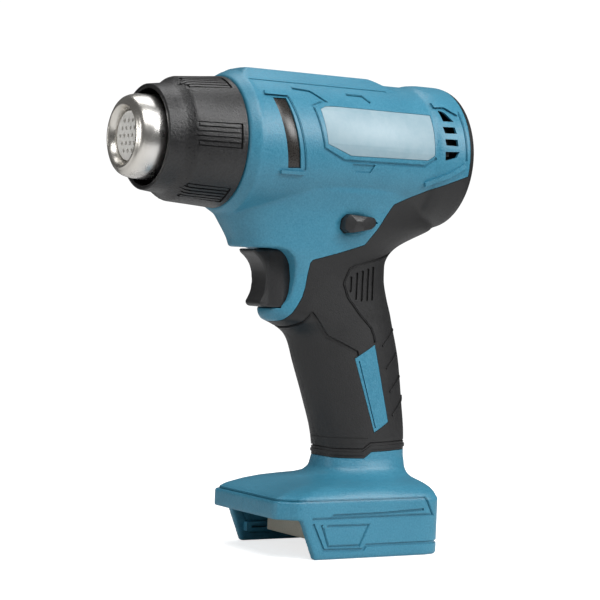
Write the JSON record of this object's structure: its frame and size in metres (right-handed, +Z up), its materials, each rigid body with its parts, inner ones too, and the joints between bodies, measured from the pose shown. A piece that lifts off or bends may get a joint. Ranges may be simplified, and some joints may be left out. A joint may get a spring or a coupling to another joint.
{
  "type": "cordless heat gun",
  "caption": "Battery heat gun with a pistol grip, a steel nozzle in a ribbed turning collar, a trigger with a cross-bolt lock and a foot for a slide-on battery.",
  "frame": {"origin": "centre of the bounding box, on the surface that the foot's skirts stand on", "axes": "+Z up; the nozzle points to -X; the tool's left side is -Y"},
  "size_m": [0.193, 0.078, 0.251],
  "materials": {
    "housing_blue": "fine textured moulded nylon",
    "grip_rubber": "soft overmould, matte",
    "collar_black": "textured moulded nylon",
    "nozzle_steel": "polished stainless steel",
    "heater_ceramic": "fired ceramic",
    "heater_metal": "rolled sheet and resistance wire",
    "heater_mica": "pressed mica",
    "trim_dark": "smooth dark moulding",
    "plate_blue": "smooth film",
    "control_black": "fine textured moulded nylon",
    "inner_black": "moulded",
    "fan_grey": "moulded",
    "motor_steel": "zinc plated",
    "terminal_grey": "moulded",
    "contact_brass": "tinned brass",
    "board_green": "lacquered circuit board",
    "lead_red": "silicone sleeve",
    "lead_black": "silicone sleeve",
    "screw_steel": "black zinc"
  },
  "bodies": {
    "housing": {"housing_left": "housing_blue", "housing_right": "housing_blue", "grip_left": "grip_rubber", "grip_right": "grip_rubber", "side_trim_left": "trim_dark", "side_trim_right": "trim_dark", "name_plate_left": "plate_blue", "name_plate_right": "plate_blue", "nozzle": "nozzle_steel", "heater_grille": "heater_ceramic", "heater_tube": "heater_metal", "insulation_sleeve": "heater_mica", "heater_former": "heater_mica", "heating_coil": "heater_metal", "thermal_cutout": "heater_metal", "fan_shroud": "inner_black", "fan_motor": "motor_steel", "motor_mount": "inner_black", "rear_cover": "collar_black", "trigger_spring": "motor_steel", "switch_body": "inner_black", "terminal_block": "terminal_grey", "terminal_blade_positive": "contact_brass", "terminal_blade_negative": "contact_brass", "control_board": "board_green", "battery_lead_positive": "lead_red", "battery_lead_negative": "lead_black", "motor_lead_positive": "lead_red", "motor_lead_negative": "lead_black", "heater_lead_positive": "lead_red", "heater_lead_negative": "lead_black", "housing_screw_1": "screw_steel", "housing_screw_2": "screw_steel", "housing_screw_3": "screw_steel", "housing_screw_4": "screw_steel", "housing_screw_5": "screw_steel", "housing_screw_6": "screw_steel", "housing_screw_7": "screw_steel", "housing_screw_8": "screw_steel"},
    "collar": {"heat_collar": "collar_black"},
    "trigger": {"trigger": "control_black", "switch_plunger": "fan_grey"},
    "lock": {"lock_button": "control_black"},
    "fan": {"fan_impeller": "fan_grey", "motor_shaft": "motor_steel"}
  },
  "joints": [
    {"name": "trigger_pull", "type": "slide", "parent": "housing", "child": "trigger", "axis": [1, 0, 0], "range_m": [0, 0.006], "stiffness_N_per_m": 600, "springref_m": -0.003, "deforming": ["trigger_spring"]},
    {"name": "lock_push", "type": "slide", "parent": "housing", "child": "lock", "axis": [0, 1, 0], "range_m": [0, 0.005]},
    {"name": "collar_twist", "type": "hinge", "parent": "housing", "child": "collar", "pos_m": [-0.06, 0, 0.2115], "axis": [1, 0, 0], "range_deg": [0, 27]},
    {"name": "fan_spin", "type": "hinge", "parent": "housing", "child": "fan", "pos_m": [0.047, 0, 0.2115], "axis": [1, 0, 0], "continuous": true}
  ]
}
